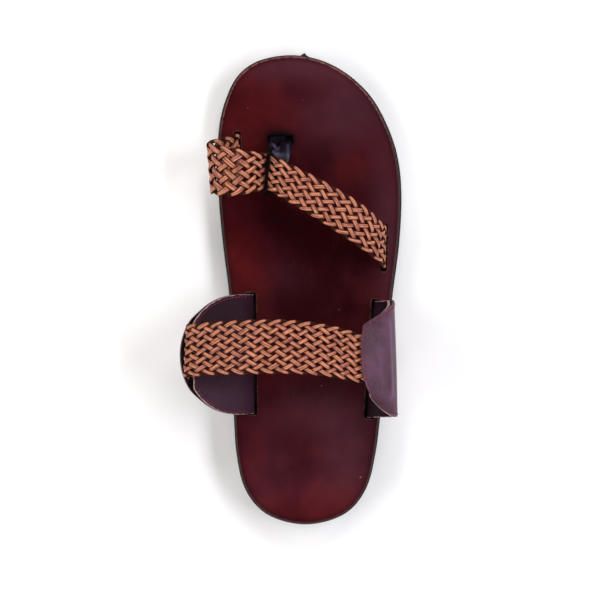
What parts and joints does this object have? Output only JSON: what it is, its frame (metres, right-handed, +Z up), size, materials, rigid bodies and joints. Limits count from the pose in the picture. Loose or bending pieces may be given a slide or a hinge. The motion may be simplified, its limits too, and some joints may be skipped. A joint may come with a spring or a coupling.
{
  "type": "slipper",
  "caption": "Open leather slipper for the right foot: braided instep strap between two leather ears, braided toe loop held by a thong, low rubber sole.",
  "frame": {"origin": "on the floor under the middle of the heel, at the centre of the heel's round end", "axes": "+Y to the toe, +X to the outer (little-toe) side of the foot, +Z up"},
  "size_m": [0.1264, 0.2713, 0.059],
  "materials": {
    "outsole_rubber": "matt",
    "footbed_leather": "burnished, soft sheen",
    "ear_leather": "smooth, semi-gloss",
    "lining_leather": "smooth, semi-gloss",
    "braid_leather": "satin",
    "thong_leather": "glossy"
  },
  "bodies": {
    "root": {"outsole": "outsole_rubber", "footbed": "footbed_leather", "ear_medial_outer": "ear_leather", "ear_medial_lining": "lining_leather", "ear_lateral_outer": "ear_leather", "ear_lateral_lining": "lining_leather", "instep_braid": "braid_leather", "toe_braid": "braid_leather", "toe_thong": "thong_leather"}
  },
  "joints": []
}
